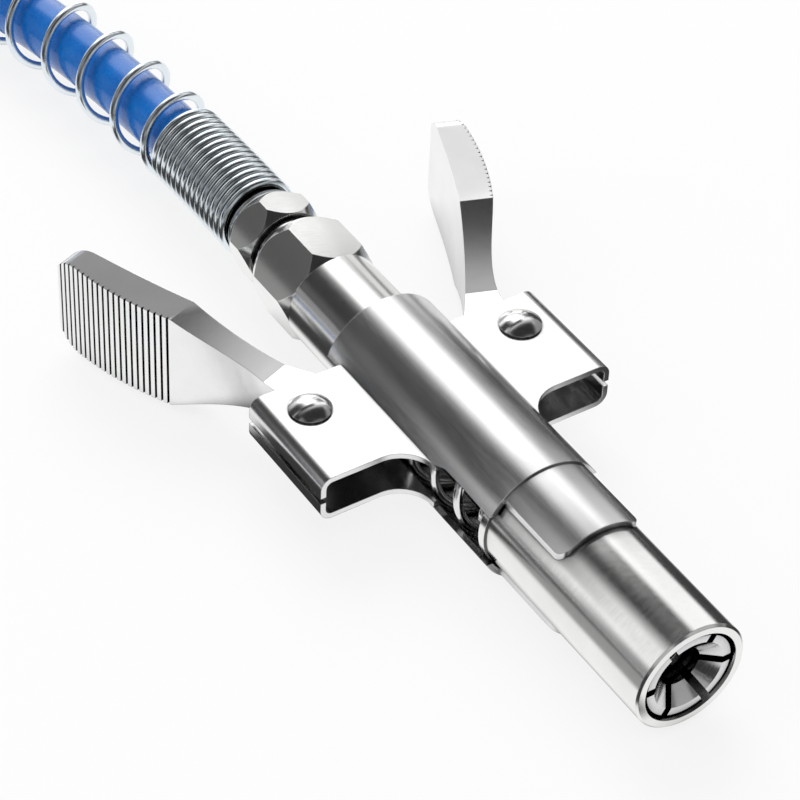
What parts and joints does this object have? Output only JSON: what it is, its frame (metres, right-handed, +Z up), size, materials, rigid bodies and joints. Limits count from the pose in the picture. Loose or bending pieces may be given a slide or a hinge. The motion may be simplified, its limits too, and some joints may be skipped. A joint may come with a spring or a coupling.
{
  "type": "locking grease coupler",
  "caption": "Double-lever locking grease coupler: spring-loaded jaws in a steel sleeve, stamped shells, two squeeze levers and a whip hose.",
  "frame": {"origin": "on the surface it lies on, under the middle of the coupler from nozzle face to ferrule end, hose left out", "axes": "-Y out of the nozzle along the bore, +Z up from the surface, +X to the right lever's side as seen from behind"},
  "size_m": [0.1727, 0.2205, 0.0188],
  "materials": {
    "satin_steel": "satin",
    "lever_steel": "satin",
    "jaw_steel": "satin",
    "polished_steel": "polished",
    "spring_wire": "bright drawn",
    "zinc_wire": "zinc plated",
    "seal_rubber": "matte",
    "blue_hose": "gloss"
  },
  "bodies": {
    "core": {"core_body": "polished_steel", "seal_cup": "seal_rubber", "seal_ring": "polished_steel", "check_spring": "spring_wire", "jaw_ring": "spring_wire", "main_spring": "spring_wire", "hose_adapter": "polished_steel", "hose_ferrule": "polished_steel", "hose": "blue_hose", "guard_spring": "zinc_wire", "far_ferrule": "polished_steel", "far_fitting": "polished_steel"},
    "shell": {"upper_shell": "satin_steel", "lower_shell": "satin_steel", "nozzle_sleeve": "polished_steel", "rivet_left": "polished_steel", "rivet_right": "polished_steel"},
    "lever_left": {"lever_left": "lever_steel"},
    "lever_right": {"lever_right": "lever_steel"},
    "check_ball": {"check_ball": "polished_steel"},
    "jaw_1": {"jaw_1": "jaw_steel"},
    "jaw_2": {"jaw_2": "jaw_steel"},
    "jaw_3": {"jaw_3": "jaw_steel"},
    "jaw_4": {"jaw_4": "jaw_steel"},
    "jaw_5": {"jaw_5": "jaw_steel"},
    "jaw_6": {"jaw_6": "jaw_steel"}
  },
  "joints": [
    {"name": "shell_slide", "type": "slide", "parent": "core", "child": "shell", "axis": [0, 1, 0], "range_m": [0, 0.00355], "stiffness_N_per_m": 4000, "springref_m": -0.005, "deforming": ["main_spring"]},
    {"name": "lever_right_squeeze", "type": "hinge", "parent": "shell", "child": "lever_right", "pos_m": [0.0164, -0.00006, 0.0091], "axis": [0, 0, 1], "range_deg": [0, 22.1]},
    {"name": "lever_left_squeeze", "type": "hinge", "parent": "shell", "child": "lever_left", "pos_m": [-0.0164, -0.00006, 0.0091], "axis": [0, 0, -1], "range_deg": [0, 22.1]},
    {"name": "jaw_1_open", "type": "hinge", "parent": "core", "child": "jaw_1", "pos_m": [0, -0.04156, 0.0133], "axis": [-1, 0, 0], "range_deg": [0, 2.75]},
    {"name": "jaw_2_open", "type": "hinge", "parent": "core", "child": "jaw_2", "pos_m": [0.00364, -0.04156, 0.0112], "axis": [-0.5, 0, 0.866], "range_deg": [0, 2.75]},
    {"name": "jaw_3_open", "type": "hinge", "parent": "core", "child": "jaw_3", "pos_m": [0.00364, -0.04156, 0.007], "axis": [0.5, 0, 0.866], "range_deg": [0, 2.75]},
    {"name": "jaw_4_open", "type": "hinge", "parent": "core", "child": "jaw_4", "pos_m": [0, -0.04156, 0.0049], "axis": [1, 0, 0], "range_deg": [0, 2.75]},
    {"name": "jaw_5_open", "type": "hinge", "parent": "core", "child": "jaw_5", "pos_m": [-0.00364, -0.04156, 0.007], "axis": [0.5, 0, -0.866], "range_deg": [0, 2.75]},
    {"name": "jaw_6_open", "type": "hinge", "parent": "core", "child": "jaw_6", "pos_m": [-0.00364, -0.04156, 0.0112], "axis": [-0.5, 0, -0.866], "range_deg": [0, 2.75]},
    {"name": "check_ball_lift", "type": "slide", "parent": "core", "child": "check_ball", "axis": [0, 1, 0], "range_m": [0, 0.0006], "stiffness_N_per_m": 300, "springref_m": -0.001, "deforming": ["check_spring"]}
  ],
  "couplings": [
    {"joint": "lever_right_squeeze", "follows": "shell_slide", "rad_per_m": 108.16},
    {"joint": "lever_left_squeeze", "follows": "shell_slide", "rad_per_m": 108.16},
    {"joint": "jaw_1_open", "follows": "shell_slide", "rad_per_m": 13.274},
    {"joint": "jaw_2_open", "follows": "shell_slide", "rad_per_m": 13.274},
    {"joint": "jaw_3_open", "follows": "shell_slide", "rad_per_m": 13.274},
    {"joint": "jaw_4_open", "follows": "shell_slide", "rad_per_m": 13.274},
    {"joint": "jaw_5_open", "follows": "shell_slide", "rad_per_m": 13.274},
    {"joint": "jaw_6_open", "follows": "shell_slide", "rad_per_m": 13.274}
  ]
}
